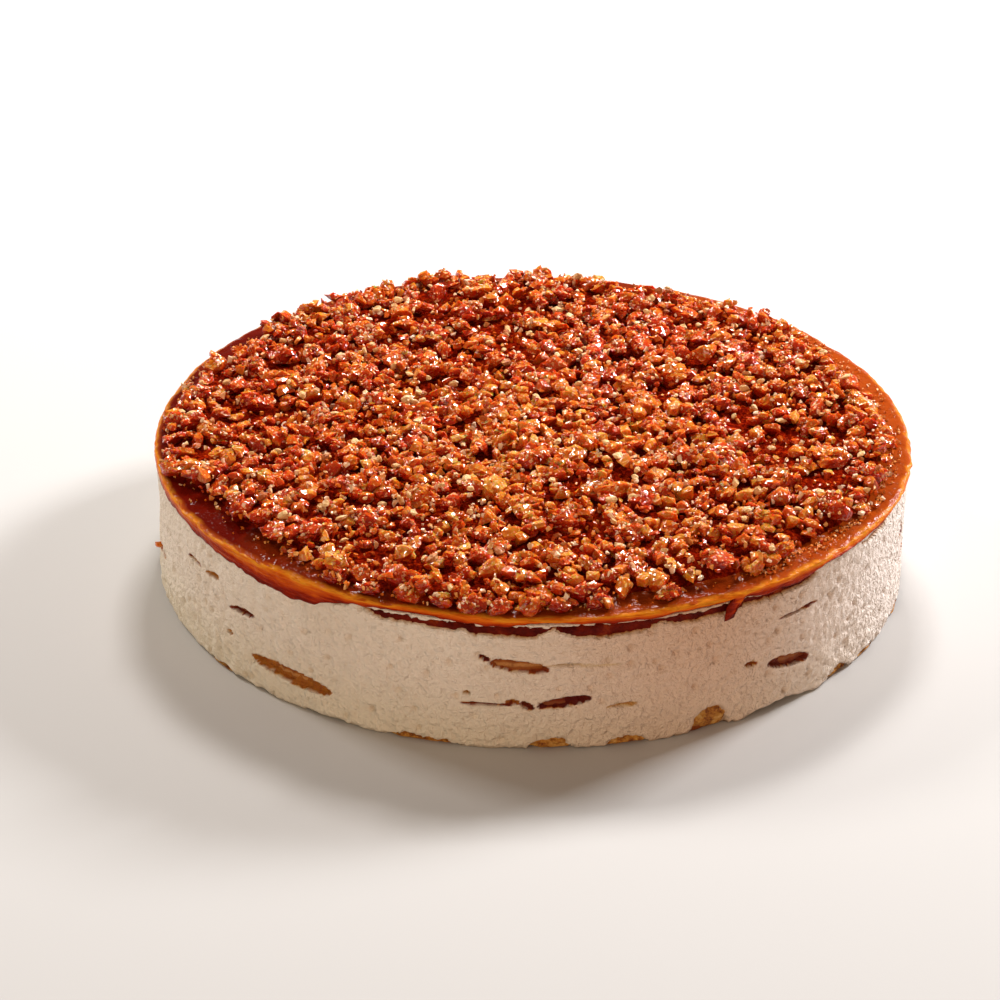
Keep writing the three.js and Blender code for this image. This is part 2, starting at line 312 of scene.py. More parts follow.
LIFTED_EDGE = (39.0, 7.0, 1.5)  # azimuth, half width in degrees and height of a gap under the cream


def share_round(azimuth):
    """How far round the cake an azimuth is, from 0 to 1."""
    return azimuth / 360.0 % 1.0


def column_azimuths(count):
    """The azimuths of count columns round the cake. They fall as columns go on, which turns the faces
    outwards."""
    return -np.linspace(0, 360, count, endpoint=False)[None, :]


def noise(u, v, across, up, seed):
    """Smooth unevenness from -1 to 1: random numbers on a grid of across by up cells, eased from corner to
    corner. u goes once round the cake from 0 to 1, where the pattern closes, and v goes up from 0 to 1."""
    grid = np.random.default_rng(seed).uniform(-1, 1, (across, up + 2))
    x, y = (u % 1.0) * across, np.clip(v, 0, 1) * up
    i, j = x.astype(int) % across, y.astype(int)
    fx, fy = x % 1.0, y - j
    fx, fy = fx * fx * (3 - 2 * fx), fy * fy * (3 - 2 * fy)
    after = (i + 1) % across
    low = grid[i, j] * (1 - fx) + grid[after, j] * fx
    high = grid[i, j + 1] * (1 - fx) + grid[after, j + 1] * fx
    return low * (1 - fy) + high * fy


def ripple(u, across, seed):
    """Unevenness from -1 to 1 in across cells round the cake, the same at every height."""
    return noise(u, u * 0, across, 1, seed)


def spots(u, v, across, up, seed):
    """Scattered spots, one in each of across by up cells: the distance to the nearest one in cells, and
    that spot's own random number."""
    rng = np.random.default_rng(seed)
    middle = rng.uniform(0.1, 0.9, (across, up, 2))
    number = rng.uniform(0, 1, (across, up))
    x, y = (u % 1.0) * across, np.clip(v, 0, 0.9999) * up
    nearest = np.full(x.shape, 9.0)
    found = np.zeros(x.shape)
    for di in (-1, 0, 1):
        for dj in (-1, 0, 1):
            i = np.floor(x).astype(int) + di
            j = np.clip(np.floor(y).astype(int) + dj, 0, up - 1)
            spot = middle[i % across, j]
            distance = np.hypot(x - i - spot[..., 0], y - j - spot[..., 1])
            found = np.where(distance < nearest, number[i % across, j], found)
            nearest = np.minimum(nearest, distance)
    return nearest, found


def apart(azimuth, other):
    """The angle from one azimuth to another, from -180 to 180 degrees."""
    return (azimuth - other + 180.0) % 360.0 - 180.0


def ease(value, low, high):
    """0 up to low, 1 from high on, and a smooth rise between."""
    t = np.clip((value - low) / (high - low), 0, 1)
    return t * t * (3 - 2 * t)


def slit_mask(azimuth, z, ragged):
    """1 inside a slit and 0 outside: each slit is a lens whose squared distances along and across add up
    to less than 1, with ragged millimetres of unevenness at its edge. Also gives the share of the cream
    that is stained, which reaches a little further out, and how dark the stain is."""
    mask, stain, tone = np.zeros(azimuth.shape), np.zeros(azimuth.shape), np.zeros(azimuth.shape)
    for middle, half_width, height, half_height, rise, colour in SLITS:
        along = apart(azimuth, middle) / half_width
        across = (z - height - rise * along) / half_height
        inside = (1 - np.abs(along) ** 2.4 - across**2) * half_height
        inside = inside + 0.4 * ragged * min(1, half_height)
        mask = np.maximum(mask, ease(inside, -0.15, 0.35))
        stain = np.maximum(stain, min(1, 2.5 * colour) * ease(inside, -0.5, -0.1))
        tone = np.maximum(tone, colour * (inside > -1.0))
    for start, end, low, high in SOAKED_LINES:
        middle, half_width = (start + end) / 2, (end - start) / 2
        along = np.clip(1 - (apart(azimuth, middle) / half_width) ** 4, -1, 1)
        lower = high - (high - low) * along
        inside = np.minimum(z - lower, high - z + 0.15) + np.minimum(along, 0) * 3
        share = ease(inside + ragged, -0.15, 0.4)
        mask = np.maximum(mask, share)
        stain = np.maximum(stain, share)
        tone = np.maximum(tone, share)
    return mask, stain, tone


def foot_mask(azimuth, z, ragged):
    """1 where biscuit shows at the foot and 0 outside: an arch over each piece, ragged at its edge."""
    mask = np.zeros(azimuth.shape)
    for middle, half_width, height in FOOT_PIECES:
        along = np.abs(apart(azimuth, middle) / half_width)
        inside = height * (1 - along**3) - z
        mask = np.maximum(mask, ease(inside + 1.2 * ragged, -0.2, 0.5) * (along < 1.1))
    return mask


def coarse(azimuth):
    """How coarse the cream's grain is: 1 on the right, where it pulled away from the paper, 0 on the left."""
    return ease(np.abs(apart(azimuth, GRAINY_SIDE)), 55.0, 12.0)


def cream_side(azimuth, z):
    """The side's radius: the mould's, with slow waves, faint seams at the biscuits' heights, pebbles and
    pits, which are stronger on the right, and the slits and foot pieces cut in. Also gives the share of
    the cream that is stained and how dark the stain is."""
    u, v = share_round(azimuth), z / SIDE_HEIGHT
    rough = 0.55 + 0.9 * coarse(azimuth)
    smeared = ease(np.abs(apart(azimuth, SMEARED_SIDE)), 50.0, 15.0)
    radius = CREAM_RADIUS + 0.35 * noise(u, v, 13, 3, 1) + 0.22 * noise(u, v, 60, 5, 2)
    radius += 0.20 * noise(u, v, 240, 5, 3) * (0.3 + smeared) + 0.12 * noise(u, v, 520, 9, 12) * smeared
    radius += (0.09 + 0.03 * rough) * noise(u, v, 420, 26, 4)
    radius += (0.07 + 0.08 * rough) * noise(u, v, 760, 48, 5)
    radius += 0.5 * np.clip(noise(u, v, 190, 14, 13), 0, 1) * ease(z, 17.0, 8.0)
    for height in SEAM_HEIGHTS:
        wander = height + 1.2 * ripple(u, 30, int(height))
        seam = np.exp(-(((z - wander) / 0.5) ** 2))
        radius -= 0.22 * seam * ease(noise(u, v, 34, 2, int(height) + 1), -0.1, 0.5)
    distance, number = spots(u, v, 330, 20, 6)
    radius -= ease(distance, 0.30, 0.08) * (0.4 + 0.2 * rough) * (number > 0.62)
    distance, number = spots(u, v, 110, 7, 7)
    radius -= ease(distance, 0.22, 0.06) * 1.1 * (number > 0.80 - 0.2 * rough)
    ragged = 0.5 * noise(u, v, 300, 24, 8) + 0.35 * noise(u, v, 700, 56, 9)
    slit, stain, tone = slit_mask(azimuth, z, ragged)
    open_share = np.maximum(slit, foot_mask(azimuth, z, ragged))
    return radius - SLIT_DEPTH * open_share, stain, tone


def cream_foot(azimuth):
    """The height of the cream's lower edge: a ragged line, lifted in one place."""
    u = share_round(azimuth)
    middle, half_width, height = LIFTED_EDGE
    lifted = height * (1 - ease(np.abs(apart(azimuth, middle)), 0.4 * half_width, half_width))
    torn = 0.5 * ripple(u, 150, 10) + 0.3 * ripple(u, 420, 11)
    return 0.1 + lifted + np.clip(torn, 0, 1)


def mesh_object(name, rings, material, smooth=True, **values):
    """A mesh piece from rings, an array (bodies, rows, columns, 3) in millimetres. Each body is closed: its
    columns join up, and its first and last rows are poles, whose points all lie in one place. Rows go from
    the top down as columns go round to the left, seen from outside. values are numbers for each point."""
    bodies, rows, columns, _ = rings.shape
    per_body = (rows - 2) * columns + 2

    def gather(array):
        """One entry for each pole and each point between, body by body."""
        tail = array.shape[3:]
        inner = array[:, 1:-1].reshape(bodies, -1, *tail)
        return np.concatenate([array[:, :1, 0], inner, array[:, -1:, 0]], axis=1).reshape(-1, *tail)

    grid = 1 + np.arange((rows - 2) * columns).reshape(rows - 2, columns)
    beside = np.roll(grid, -1, axis=1)
    quads = np.stack([grid[:-1], grid[1:], beside[1:], beside[:-1]], axis=-1).reshape(-1, 4)
    top = np.stack([np.zeros(columns, int), grid[0], beside[0]], axis=-1)
    bottom = np.stack([np.full(columns, per_body - 1), beside[-1], grid[-1]], axis=-1)
    triangles = np.concatenate([top, bottom])
    first = (np.arange(bodies) * per_body)[:, None, None]
    quads = (quads + first).reshape(-1, 4)
    triangles = (triangles + first).reshape(-1, 3)

    mesh = bpy.data.meshes.new(name)
    points = gather(rings) / 1000.0
    mesh.vertices.add(len(points))
    mesh.vertices.foreach_set("co", points.astype(np.float32).ravel())
    mesh.loops.add(quads.size + triangles.size)
    corners = np.concatenate([quads.ravel(), triangles.ravel()])
    mesh.loops.foreach_set("vertex_index", corners.astype(np.int32))
    mesh.polygons.add(len(quads) + len(triangles))
    starts = np.concatenate([4 * np.arange(len(quads)), quads.size + 3 * np.arange(len(triangles))])
    mesh.polygons.foreach_set("loop_start", starts.astype(np.int32))
    mesh.update(calc_edges=True)
    mesh.polygons.foreach_set("use_smooth", np.full(len(mesh.polygons), smooth))
    for label, array in values.items():
        spread = np.broadcast_to(array, rings.shape[:3])[..., None]
        layer = mesh.attributes.new(label, "FLOAT", "POINT")
        layer.data.foreach_set("value", gather(spread).astype(np.float32).ravel())
    mesh.materials.append(material)
    piece = bpy.data.objects.new(name, mesh)
    bpy.context.scene.collection.objects.link(piece)
    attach(piece, "root")
    return piece


def around(radius, azimuth, z):
    """Points at a radius, an azimuth and a height."""
    a = np.radians(azimuth)
    return np.stack(np.broadcast_arrays(radius * np.sin(a), -radius * np.cos(a), z), axis=-1)


azimuth = column_azimuths(CREAM_COLUMNS)
up = np.linspace(1, 0, CREAM_ROWS)[:, None]
foot = cream_foot(azimuth)
side_z = foot + (CREAM_TOP - foot) * up
side_r, side_stain, side_tone = cream_side(azimuth, side_z)
side_r -= 0.9 * ease(side_z - foot, 1.3, 0.0)
lid = [around(r + 0 * azimuth, azimuth, CREAM_TOP) for r in (0.0, 60.0, 105.0, 114.0)]
underside = ((112.0, 0.2), (96.0, 0.15), (50.0, 0.15), (0.0, 0.15))
tray = [around(r + 0 * azimuth, azimuth, z) for r, z in underside]
skirt = around(np.minimum(side_r[-1:] - 1.0, 117.0), azimuth, foot + 0.3)
rings = np.concatenate([*lid, around(side_r, azimuth, side_z), skirt, *tray])[None]
hollow, stain, dark = np.zeros((3, *rings.shape[:3]))
side = slice(len(lid), len(lid) + CREAM_ROWS)
# Painted shade: the deeper the side sinks below the mould's radius, in slits, pits and at the foot, the
# browner its colour.
hollow[0, side] = np.clip((CREAM_RADIUS - 0.5 - side_r) / 1.4, 0, 1)
stain[0, side], dark[0, side] = side_stain, side_tone
where = np.degrees(np.arctan2(rings[..., 0], -rings[..., 1]))
# Painted warm light: an orange tint on the front right of the cream, stronger higher up, standing in for warm
# light that falls there.
warm = np.exp(-(((where - PAINTED_WARM_LIGHT_SIDE) / 24.0) ** 2)) * (0.55 + 0.45 * rings[..., 2] / CREAM_TOP)

set_cream = Finish("set cream")
tone = set_cream.noise(38.0, 3.0, 0.55)
grainy = set_cream.value("grainy")
height = set_cream.node("ShaderNodeSeparateXYZ", {}, {"Vector": set_cream.place()}, output="Z")
colour = set_cream.mix(tone.clip(0.3, 0.7), (0.90, 0.757, 0.614), (0.96, 0.828, 0.694))
colour = set_cream.mix(0.8 - height.clip(0.004, 0.022) * 0.8, colour, (0.86, 0.75, 0.56))
# Painted warm light: the cream turns orange where the warm light is painted.
colour = set_cream.mix(set_cream.value("warm"), colour, (0.72, 0.450, 0.300))
colour = set_cream.mix(grainy * 0.8, colour, (0.90, 0.79, 0.72))
# Painted shade in the recesses: sunken cream turns brown.
colour = set_cream.mix(set_cream.value("hollow") * 0.55, colour, (0.60, 0.40, 0.22))
crumbs = set_cream.ramp(
    set_cream.value("dark") + set_cream.noise(500.0, 2.0, 0.5) * 0.3 - 0.15,
    (0.20, (0.66, 0.44, 0.20)),
    (0.50, (0.52, 0.19, 0.022)),
    (0.75, (0.28, 0.045, 0.006)),
    (1.00, (0.11, 0.006, 0.002)),
)
colour = set_cream.mix(set_cream.value("stain").clip(0.0, 0.7), colour, crumbs)
grain = set_cream.noise(1300.0, 3.0, 0.6) * 0.7 + set_cream.noise(520.0, 2.0, 0.5) * 1.7
grain = (grain + set_cream.noise(950.0, 1.0, 0.5) * grainy) * (1.3 - grainy * 0.3)
set_cream.shade(
    colour,
    Roughness=0.5 + 0.2 * set_cream.noise(260.0, 2.0),
    Normal=set_cream.bump(grain, 0.0010),
    Specular_IOR_Level=0.3,
)
values = {"hollow": hollow, "stain": stain, "dark": dark, "warm": warm, "grainy": coarse(where)}
cream = mesh_object("cream", rings, set_cream.material, **values)
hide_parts("cream_body")

# ---------------------------------------------------------------------------------------------------------
# Biscuits: round tea biscuits, 59 mm across and 5 mm thick, laid edge to edge in four rows. Both faces are
# baked brown with a paler line between them, and small teeth run round the edge. The lowest show at the
# foot, where broken ones fill the gaps. The top row is dark with the caramel that has soaked into it.
# ---------------------------------------------------------------------------------------------------------
BISCUIT_RADIUS = 29.5
BISCUIT_INSET = 1.3
ROW_CENTRE = CREAM_RADIUS - BISCUIT_INSET - BISCUIT_RADIUS
BISCUIT_COLUMNS = 110
ROWS = [
    {"name": "biscuits_base", "bottom": 0.0, "thickness": 5.0, "core": 96.0, "first": -56.0, "count": 9},
    {"name": "biscuits_lower", "bottom": 13.2, "thickness": 5.0, "core": 96.0, "first": -37.5, "count": 9},
    {"name": "biscuits_upper", "bottom": 26.2, "thickness": 5.0, "core": 96.0, "first": -47.0, "count": 8},
]
# How far a biscuit's outer edge hangs below its row, and how soaked it is with caramel, from 0 to 1, for
# each in turn from the left front one on.
DROOPS = {"biscuits_lower": [5.5, 0.0, 0.0, 0.0], "biscuits_upper": [3.0, 0.0, -2.0, 0.0]}
SOAKS = {"biscuits_lower": [0.1, 0.85, 0.7], "biscuits_upper": [0.5, 0.35, 0.9]}
PLAIN_SOAK = 0.3


def disc_profile(radius, thickness):
    """The profile of a flat round body: from the middle of the top face out to its edge, down the bulging
    edge and back to the middle of the underside. Also says how far each row is out on the edge, 0 to 1."""
    round_edge = 1.3
    t = np.linspace(0, np.pi, 11)
    edge_r = radius - round_edge * (1 - np.sin(t) ** 0.7)
    edge_z = thickness / 2 * np.sign(np.cos(t)) * np.abs(np.cos(t)) ** 0.8
    r = np.concatenate([[0, 0.6 * radius], edge_r, [0.6 * radius, 0]])
    z = np.concatenate([[0.5 * thickness] * 2, edge_z, [-0.5 * thickness] * 2])
    return r, z, np.concatenate([[0, 0], np.sin(t), [0, 0]])


def biscuit_rings(first, count, bottom, thickness, droops, seed):
    """The outer biscuits of a row. Columns crowd towards a biscuit's outermost point, where it shows: the
    angle from there is the cube of the column's share, mixed with the share itself."""
    rng = np.random.default_rng(seed)
    share = np.linspace(-1, 1, BISCUIT_COLUMNS, endpoint=False)
    angle = -180.0 * (0.25 * share + 0.75 * share**3)
    r, z, edge = disc_profile(BISCUIT_RADIUS, thickness)
    teeth = 0.22 * np.cos(np.radians(angle) * 44)
    bites = 0.25 * noise(share[None, :] / 2 + 0.5, z[:, None] / thickness + 0.5, 60, 5, seed)
    radius = r[:, None] + edge[:, None] * (teeth[None, :] + bites)
    x, y = radius * np.sin(np.radians(angle)), -radius * np.cos(np.radians(angle))
    bodies = []
    for i in range(count):
        tip = np.arcsin(droops[i % len(droops)] / BISCUIT_RADIUS)
        back, height = y * np.cos(tip) - z[:, None] * np.sin(tip), y * np.sin(tip) + z[:, None] * np.cos(tip)
        turned = np.radians(first + i * 360.0 / count + rng.uniform(-0.6, 0.6))
        out = back - ROW_CENTRE
        around_x = x * np.cos(turned) - out * np.sin(turned)
        around_y = x * np.sin(turned) + out * np.cos(turned)
        bodies.append(np.stack([around_x, around_y, height + bottom + thickness / 2], axis=-1))
    level = np.broadcast_to((2 * z / thickness)[None, :, None], (count, len(z), BISCUIT_COLUMNS))
    return np.stack(bodies), level


def core_rings(radius, bottom, thickness, columns):
    """The middle of a row, where its biscuits overlap, as one disc."""
    r, z, _ = disc_profile(radius, thickness)
    return around(r[:, None], column_azimuths(columns), z[:, None] + bottom + thickness / 2)[None]


baked = Finish("baked biscuit")
level = baked.value("level")
soak = baked.value("soak")
crust = baked.mix(baked.noise(240.0, 3.0, 0.6).clip(0.3, 0.7), (0.46, 0.150, 0.018), (0.30, 0.070, 0.008))
crust = baked.mix(soak, crust, (0.17, 0.012, 0.003))
middle = (1.0 - (level * level * 9.0).clip()) * (0.8 - 0.8 * soak)
body = baked.mix(middle, crust, (0.66, 0.32, 0.095))
# Painted shade: the edge turns nearly black towards its upper face, under the overhanging cream.
body = baked.mix(level.clip(0.35, 0.9) * 0.8, body, (0.13, 0.010, 0.003))
body = baked.mix(baked.noise(1100.0, 2.0, 0.6).clip(0.52, 0.75) * 0.6, body, (0.20, 0.05, 0.010))
pores = baked.noise(1300.0, 3.0, 0.65) + baked.noise(420.0, 2.0, 0.5) * 0.8
baked.shade(body, Roughness=0.6, Specular_IOR_Level=0.3, Normal=baked.bump(pores, 0.0006))

for number, row in enumerate(ROWS):
    droops = DROOPS.get(row["name"], [0.0])
    bottom, thickness = row["bottom"], row["thickness"]
    rings, levels = biscuit_rings(row["first"], row["count"], bottom, thickness, droops, 20 + number)
    centre = core_rings(row["core"], bottom, thickness, BISCUIT_COLUMNS)
    levels = np.concatenate([levels, levels[:1]])
    rings = np.concatenate([rings, centre])
    soaks = (SOAKS.get(row["name"], []) + len(rings) * [PLAIN_SOAK])[: len(rings)]
    piece = mesh_object(row["name"], rings, baked.material, level=levels, soak=np.array(soaks)[:, None, None])
    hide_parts(row["name"].replace("biscuits", "biscuit_layer"))

# ---------------------------------------------------------------------------------------------------------
# Broken biscuit at the foot: crumbly golden lumps pushed in under the cream's edge.
# ---------------------------------------------------------------------------------------------------------
FOOT_REACH = 118.8
FOOT_DEPTH = 9.0


def foot_rings(middle, half_width, height, seed):
    """A lump: an egg whose cross-section is nearly square, made crumbly by two sizes of unevenness, with
    its underside flat on the floor."""
    rows, columns = 28, 52
    v = np.linspace(0, 1, rows)[:, None]
    u = np.linspace(0, 1, columns, endpoint=False)[None, :]
    polar, turn = np.pi * v, -2 * np.pi * u

    def squared(value):
        return np.sign(value) * np.abs(value) ** 0.62

    pull = 0.5 + 0.5 * np.sin(polar)
    bulge = 1 + pull * (0.10 * noise(u, v, 7, 5, seed) + 0.10 * noise(u, v, 17, 11, seed + 1))
    bulge = bulge + pull * 0.07 * noise(u, v, 36, 22, seed + 2)
    half = np.radians(half_width) * CREAM_RADIUS * 1.12
    x = half * squared(np.cos(turn)) * np.sin(polar) ** 0.6 * bulge
    y = FOOT_DEPTH / 2 * squared(np.sin(turn)) * np.sin(polar) ** 0.6 * bulge
    z = height * 0.5 * (1 + np.cos(polar) ** 3 * 0.3 + np.cos(polar) * 0.7 * bulge)
    out = y - (FOOT_REACH - FOOT_DEPTH / 2)
    a = np.radians(middle)
    across = x * np.cos(a) - out * np.sin(a)
    along = x * np.sin(a) + out * np.cos(a)
    limit = (CREAM_RADIUS + 0.2) / np.maximum(np.hypot(across, along), CREAM_RADIUS + 0.2)
    return np.stack(np.broadcast_arrays(across * limit, along * limit, np.maximum(z, 0.02)), axis=-1)


crumbly = Finish("crumbly biscuit")
patches = crumbly.noise(420.0, 4.0, 0.65)
crumb = crumbly.ramp(
    patches,
    (0.34, (0.16, 0.042, 0.008)),
    (0.44, (0.46, 0.16, 0.022)),
    (0.54, (0.64, 0.30, 0.055)),
    (0.68, (0.76, 0.46, 0.15)),
)
relief = crumbly.noise(900.0, 4.0, 0.7) + crumbly.noise(300.0, 2.0, 0.5)
crumbly.shade(crumb, Roughness=0.8, Normal=crumbly.bump(relief, 0.0012))
lumps = [foot_rings(*piece, 300 + 7 * i) for i, piece in enumerate(FOOT_PIECES)]
broken = mesh_object("broken_biscuit", np.stack(lumps), crumbly.material)
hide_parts("biscuit_layer_base")

# ---------------------------------------------------------------------------------------------------------
# The top row: biscuit soaked dark and soft by the caramel over it, so its edges have run together.
# ---------------------------------------------------------------------------------------------------------
SOAKED_BOTTOM = 37.8
SOAKED_THICKNESS = 4.3
SOAKED_COLUMNS = 900

azimuth = column_azimuths(SOAKED_COLUMNS)
u = share_round(azimuth)
r, z, edge = disc_profile(CREAM_RADIUS - 1.1, SOAKED_THICKNESS)
v = (z / SOAKED_THICKNESS + 0.5)[:, None]
lumpy = 0.5 * noise(u, v, 70, 2, 40) + 0.35 * noise(u, v, 330, 4, 41)
radius = r[:, None] + edge[:, None] * lumpy
rings = around(radius, azimuth, z[:, None] + SOAKED_BOTTOM + SOAKED_THICKNESS / 2)[None]
soaked = Finish("soaked biscuit")
wet = soaked.noise(200.0, 3.0, 0.6)
colour = soaked.ramp(
    wet,
    (0.35, (0.06, 0.002, 0.001)),
    (0.58, (0.14, 0.007, 0.001)),
    (0.75, (0.30, 0.04, 0.005)),
)
soaked.shade(
    colour,
    Roughness=0.28 + 0.3 * soaked.noise(700.0),
    Normal=soaked.bump(soaked.noise(900.0, 3.0, 0.6), 0.0006),
    Specular_IOR_Level=0.08,
)
piece = mesh_object("biscuits_top", rings, soaked.material)
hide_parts("biscuit_layer_top")

# ---------------------------------------------------------------------------------------------------------
# Caramel: poured warm to a mirror-smooth sheet 3 mm deep, thicker at its rounded rim, where it has run a
# little way down over the cream. Its lower edge wanders, with one low lobe on the left and a few drips.
# ---------------------------------------------------------------------------------------------------------
CARAMEL_TOP = 46.2
CARAMEL_RADIUS = 120.0
CARAMEL_COLUMNS = 900
CARAMEL_BOTTOM = 43.5
EDGE_HIGHEST = 44.2
RIM_ROUNDING = 2.9
RIM_DROP = 0.25
# The height of the caramel's lower edge, by azimuth.
CARAMEL_EDGE = [
    (-180, 42.4), (-160, 43.6), (-140, 42.6), (-108, 43.4), (-85, 41.6), (-72, 40.8), (-62, 41.3),
    (-54, 40.7), (-46.6, 39.4), (-41, 38.6), (-36.5, 37.6), (-32, 39.4), (-28, 41.6), (-23, 43.4),
    (-14, 43.6), (-9, 42.4), (-3, 42.2), (1, 43.7), (8, 43.6), (12, 42.6), (18, 43.0), (21, 43.8),
    (31, 43.8), (35, 42.4), (44, 42.2), (48, 43.4), (60, 42.9), (72, 43.5), (85, 42.8), (112, 43.6),
    (128, 42.4), (150, 43.6), (165, 42.6), (180, 42.4),
]
# Drips: azimuth, half width in degrees, how low they hang, and how far the tip has run sideways.
DRIPS = [(31.4, 0.6, 36.8, -2.6), (101.0, 2.6, 36.4, 0.6), (170.0, 2.0, 33.6, 0.0), (-119.0, 2.8, 36.0, -0.8)]


def bell(azimuth, middle, half_width):
    """1 at the middle, falling to nothing a little past half_width."""
    return np.exp(-((np.abs(apart(azimuth, middle)) / half_width) ** 3))


def caramel_edge(azimuth):
    """The height of the caramel's lower edge: the list above, joined up and made to wander, with a drip as
    a narrow bell."""
    a, z = np.array(CARAMEL_EDGE).T
    u = share_round(azimuth)
    edge = np.interp(apart(azimuth, 0.0), a, z)
    edge = edge + 0.45 * ripple(u, 120, 50) + 0.3 * ripple(u, 400, 51)
    for middle, half_width, low, _ in DRIPS:
        share = bell(azimuth, middle, half_width)
        edge = edge * (1 - share) + low * share
    return np.minimum(edge, EDGE_HIGHEST)


def rim_wave(azimuth):
    """How far the caramel's rim stands out from its circle."""
    a = np.radians(azimuth)
    return 0.35 * np.sin(5 * a + 1) + 0.25 * np.sin(11 * a)


azimuth = column_azimuths(CARAMEL_COLUMNS)
u = share_round(azimuth)
wave = rim_wave(azimuth)
edge = caramel_edge(azimuth)
rim_r = CARAMEL_RADIUS + 0.15 + wave + 0.30 * ripple(u, 260, 58) + 0.2 * ripple(u, 110, 59)
shoulder = 1.5 + 0.5 * ripple(u, 40, 52)
flat_r = np.concatenate([[0, 30, 60, 85], np.linspace(97, 117.0, 26)])[:, None]
swell = 0.25 * noise(u, flat_r / 120, 24, 9, 53) + 0.12 * noise(u, flat_r / 120, 70, 24, 54)
swell = swell * ease(flat_r, 60, 100) * (1 - 0.6 * ease(flat_r, 112, 118))
flat = around(flat_r + wave * flat_r / 120, azimuth, CARAMEL_TOP + swell - RIM_DROP * ease(flat_r, 113, 117))
t = np.linspace(0.12, 1, 9)[:, None] * np.pi / 2
curve = around(
    rim_r - RIM_ROUNDING + RIM_ROUNDING * np.sin(t) ** 1.2,
    azimuth,
    CARAMEL_TOP - RIM_DROP - shoulder * (1 - np.cos(t)) + 0.1 * ripple(u, 90, 55),
)
down = np.linspace(0.08, 1, 16)[:, None]
hang_z = (CARAMEL_TOP - RIM_DROP - shoulder) * (1 - down) + edge * down
long_enough = ease(CARAMEL_TOP - edge, 3.0, 6.0)
folds = 0.5 * noise(u, down, 90, 4, 56) + 0.5 * noise(u, down, 22, 5, 57)
cling = 1.15 * (1 - down**4) + folds * (1 - down**2)
bead = 0.35 * np.exp(-(((1 - down) / 0.14) ** 2)) * long_enough
hang_r = CREAM_RADIUS + 0.15 + (rim_r - CREAM_RADIUS - 0.15) * (1 - down) ** 1.5 + 0.75 * cling * down + bead
sideways = sum(slant * bell(azimuth, middle, 1.4 * half_width) for middle, half_width, _, slant in DRIPS)
hang = around(hang_r, azimuth + sideways * down**2, hang_z)
under = [around(CREAM_RADIUS - 0.4 + 0 * azimuth, azimuth, edge + 0.15)]
under += [around(117.0 + 0 * azimuth, azimuth, 43.45)]
under += [around(r + 0 * azimuth, azimuth, CARAMEL_BOTTOM) for r in (60.0, 0.0)]
rings = np.concatenate([flat, curve, hang, *under])[None]
depth = np.ones(rings.shape[:3])
curve_start = len(flat)
hang_start = curve_start + len(curve)
depth[0, :curve_start] = 0.0
depth[0, curve_start:hang_start] = np.linspace(0, 0.3, len(curve))[:, None]
depth[0, hang_start : hang_start + len(hang)] = 0.3 + 0.7 * down

poured = Finish("poured caramel")
cloud = poured.noise(26.0, 2.0, 0.5)
# Painted light: the top sheet is dark on the left and grows lighter towards the right, as if lit from there,
# with soft blotches.
painted_light_from_right = poured.node("ShaderNodeSeparateXYZ", {}, {"Vector": poured.place()}, output="X")
top = poured.mix((cloud + painted_light_from_right * 2.5).clip(0.30, 0.75), (0.12, 0.004, 0.001), (0.34, 0.050, 0.004))
streaks = poured.noise(90.0, 3.0, 0.65, stretch=(1.0, 1.0, 8.0)) * 1.1 - 0.55
# Down the rim and the hanging caramel: a light amber band where the rim curves over, a painted highlight of
# light shining through the thin rim, then darker red towards the lower edge.
side = poured.ramp(
    poured.value("depth") + streaks,
    (0.05, (0.44, 0.070, 0.005)),
    (0.17, (0.77, 0.27, 0.015)),
    (0.32, (0.72, 0.15, 0.007)),
    (0.52, (0.56, 0.070, 0.004)),
    (0.74, (0.32, 0.018, 0.002)),
    (0.96, (0.16, 0.007, 0.001)),
)
poured.shade(
    poured.mix(poured.value("depth").clip(0.02, 0.2), top, side),
    Roughness=0.05 + 0.08 * poured.noise(90.0) + 0.25 * poured.value("depth").clip(0.0, 0.3),
    Normal=poured.bump(poured.noise(210.0, 3.0, 0.6, stretch=(1.0, 1.0, 3.0)), 0.0009),
    Specular_IOR_Level=0.05,
)
caramel = mesh_object("caramel", rings, poured.material, depth=depth)
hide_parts("caramel_with_praline")

# ---------------------------------------------------------------------------------------------------------
# Praline bed: nuts boiled in sugar until it browns, and crushed when cold. The fine crush has settled on
# the caramel in a bed a few millimetres deep, which stops short of the rim by an uneven strip.
# ---------------------------------------------------------------------------------------------------------
BED_COLUMNS = 440
BED_ROWS = 84
BED_FIELD = 260.0  # the square that the bed's grain is laid out on

# Width of bare caramel between the praline and the rim, by azimuth.
BARE_CARAMEL = [
    (-180, 8), (-158, 6), (-145, 11), (-138, 4), (-122, 11), (-108, 4.5), (-96, 6), (-85, 3), (-73, 2),
    (-62, 10), (-42, 9), (-33, 4), (-8, 2), (10, 7), (32, 7), (60, 5.5), (87, 5), (100, 11), (130, 8),
    (160, 12), (180, 8),
]


def bare_caramel(azimuth):
    """The width of the bare strip: the list above, joined up."""
    a, width = np.array(BARE_CARAMEL).T
    return np.interp(apart(azimuth, 0.0), a, width)


def heap_edge(azimuth):
    """The radius that the praline reaches, made ragged by two sizes of unevenness."""
    u = share_round(azimuth)
    ragged = 1.2 * ripple(u, 80, 60) + 0.7 * ripple(u, 240, 61)
    return CARAMEL_RADIUS - bare_caramel(azimuth) + ragged


